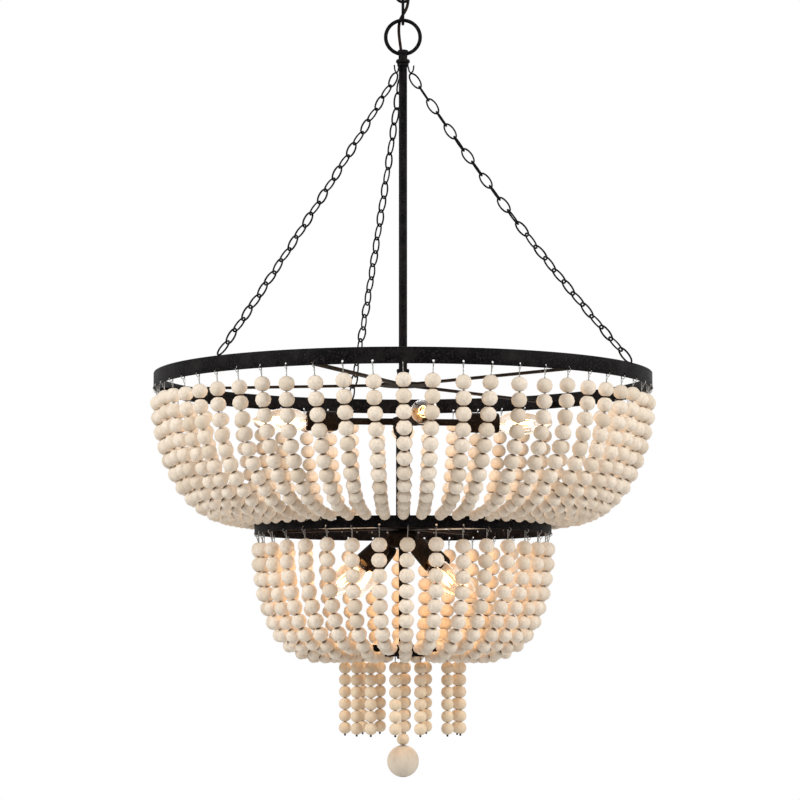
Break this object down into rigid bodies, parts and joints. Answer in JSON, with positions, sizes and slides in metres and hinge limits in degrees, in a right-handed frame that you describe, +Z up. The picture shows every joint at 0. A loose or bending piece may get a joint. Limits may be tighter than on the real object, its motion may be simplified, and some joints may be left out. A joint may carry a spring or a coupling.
{
  "type": "beaded chandelier",
  "caption": "Three-tier chandelier of pale wooden bead strands on dark hoops, with candelabra lamps inside, hung from a ceiling canopy on short links.",
  "frame": {"origin": "centre of the mounting bar's ceiling face", "axes": "+Z up along the central rod's line, -Y towards the viewer, X to the viewer's right"},
  "size_m": [0.657, 0.657, 1.1269],
  "materials": {
    "black_bronze": "dark, finely grained bronze",
    "brown_bronze": "brown bronze, satin",
    "bead_wood": "whitewashed, matt",
    "lamp_glass": "clear",
    "cord": "braided cover"
  },
  "bodies": {
    "canopy": {"mounting_bar": "black_bronze", "canopy": "black_bronze", "canopy_screw_left": "black_bronze", "canopy_screw_right": "black_bronze", "canopy_loop": "black_bronze", "power_cord": "cord"},
    "suspension_link_1": {"suspension_link_1": "black_bronze"},
    "suspension_link_2": {"suspension_link_2": "black_bronze"},
    "suspension_link_3": {"suspension_link_3": "black_bronze"},
    "chandelier": {"top_ring": "black_bronze", "top_collar": "black_bronze", "chain_hooks": "black_bronze", "centre_rod": "black_bronze", "chain_left": "black_bronze", "chain_right": "black_bronze", "chain_back": "black_bronze", "rod_coupling": "black_bronze", "spacer_tube": "black_bronze", "upper_hoop": "black_bronze", "upper_spokes": "black_bronze", "middle_hoop": "black_bronze", "middle_spokes": "black_bronze", "lower_hoop": "black_bronze", "lower_spokes": "black_bronze", "rod_nut": "black_bronze", "upper_light_hub": "brown_bronze", "lower_light_hub": "brown_bronze", "upper_socket_1": "brown_bronze", "upper_socket_2": "brown_bronze", "upper_socket_3": "brown_bronze", "upper_socket_4": "brown_bronze", "upper_bulb_1": "lamp_glass", "upper_bulb_2": "lamp_glass", "upper_bulb_3": "lamp_glass", "upper_bulb_4": "lamp_glass", "lower_socket_1": "brown_bronze", "lower_socket_2": "brown_bronze", "lower_socket_3": "brown_bronze", "lower_socket_4": "brown_bronze", "lower_bulb_1": "lamp_glass", "lower_bulb_2": "lamp_glass", "lower_bulb_3": "lamp_glass", "lower_bulb_4": "lamp_glass", "upper_strands": "bead_wood", "middle_strands": "bead_wood"},
    "drop_strand_1": {"drop_strand_1": "bead_wood"},
    "drop_strand_2": {"drop_strand_2": "bead_wood"},
    "drop_strand_3": {"drop_strand_3": "bead_wood"},
    "drop_strand_4": {"drop_strand_4": "bead_wood"},
    "drop_strand_5": {"drop_strand_5": "bead_wood"},
    "drop_strand_6": {"drop_strand_6": "bead_wood"},
    "drop_strand_7": {"drop_strand_7": "bead_wood"},
    "drop_strand_8": {"drop_strand_8": "bead_wood"},
    "drop_strand_9": {"drop_strand_9": "bead_wood"},
    "drop_strand_10": {"drop_strand_10": "bead_wood"},
    "drop_strand_11": {"drop_strand_11": "bead_wood"},
    "drop_strand_12": {"drop_strand_12": "bead_wood"},
    "pendant_strand": {"pendant_strand": "bead_wood"}
  },
  "joints": [
    {"name": "suspension_swing_1", "type": "hinge", "parent": "canopy", "child": "suspension_link_1", "pos_m": [0, 0, -0.0482], "axis": [1, 0, 0], "range_deg": [-20, 20], "deforming": ["power_cord"]},
    {"name": "suspension_swing_2", "type": "hinge", "parent": "suspension_link_1", "child": "suspension_link_2", "pos_m": [0, 0, -0.0779], "axis": [0, 1, 0], "range_deg": [-20, 20], "deforming": ["power_cord"]},
    {"name": "suspension_swing_3", "type": "hinge", "parent": "suspension_link_2", "child": "suspension_link_3", "pos_m": [0, 0, -0.1076], "axis": [1, 0, 0], "range_deg": [-20, 20], "deforming": ["power_cord"]},
    {"name": "ring_swing", "type": "hinge", "parent": "suspension_link_3", "child": "chandelier", "pos_m": [0, 0, -0.1373], "axis": [0, 1, 0], "range_deg": [-15, 15], "deforming": ["power_cord"]},
    {"name": "drop_swing_1", "type": "hinge", "parent": "chandelier", "child": "drop_strand_1", "pos_m": [-0.00978, -0.07426, -0.9722], "axis": [-0.9914, 0.1305, 0], "range_deg": [-10, 12]},
    {"name": "drop_swing_2", "type": "hinge", "parent": "chandelier", "child": "drop_strand_2", "pos_m": [0.0219, -0.07163, -0.9722], "axis": [-0.9563, -0.2924, 0], "range_deg": [-10, 12]},
    {"name": "drop_swing_3", "type": "hinge", "parent": "chandelier", "child": "drop_strand_3", "pos_m": [0.05653, -0.04914, -0.9722], "axis": [-0.6561, -0.7547, 0], "range_deg": [-10, 12]},
    {"name": "drop_swing_4", "type": "hinge", "parent": "chandelier", "child": "drop_strand_4", "pos_m": [0.07376, -0.01301, -0.9722], "axis": [-0.1736, -0.9848, 0], "range_deg": [-10, 12]},
    {"name": "drop_swing_5", "type": "hinge", "parent": "chandelier", "child": "drop_strand_5", "pos_m": [0.07038, 0.02562, -0.9722], "axis": [0.342, -0.9397, 0], "range_deg": [-10, 12]},
    {"name": "drop_swing_6", "type": "hinge", "parent": "chandelier", "child": "drop_strand_6", "pos_m": [0.03046, 0.06842, -0.9722], "axis": [0.9135, -0.4067, 0], "range_deg": [-10, 12]},
    {"name": "drop_swing_7", "type": "hinge", "parent": "chandelier", "child": "drop_strand_7", "pos_m": [0.00261, 0.07485, -0.9722], "axis": [0.9994, -0.0349, 0], "range_deg": [-10, 12]},
    {"name": "drop_swing_8", "type": "hinge", "parent": "chandelier", "child": "drop_strand_8", "pos_m": [-0.03046, 0.06842, -0.9722], "axis": [0.9135, 0.4067, 0], "range_deg": [-10, 12]},
    {"name": "drop_swing_9", "type": "hinge", "parent": "chandelier", "child": "drop_strand_9", "pos_m": [-0.05296, 0.05296, -0.9722], "axis": [0.7071, 0.7071, 0], "range_deg": [-10, 12]},
    {"name": "drop_swing_10", "type": "hinge", "parent": "chandelier", "child": "drop_strand_10", "pos_m": [-0.07485, -0.00261, -0.9722], "axis": [-0.0349, 0.9994, 0], "range_deg": [-10, 12]},
    {"name": "drop_swing_11", "type": "hinge", "parent": "chandelier", "child": "drop_strand_11", "pos_m": [-0.05902, -0.04611, -0.9722], "axis": [-0.6157, 0.788, 0], "range_deg": [-10, 12]},
    {"name": "drop_swing_12", "type": "hinge", "parent": "chandelier", "child": "drop_strand_12", "pos_m": [-0.04079, -0.06282, -0.9722], "axis": [-0.8387, 0.5446, 0], "range_deg": [-10, 12]},
    {"name": "pendant_swing", "type": "hinge", "parent": "chandelier", "child": "pendant_strand", "pos_m": [0, 0, -0.9755], "axis": [1, 0, 0], "range_deg": [-12, 12]}
  ]
}
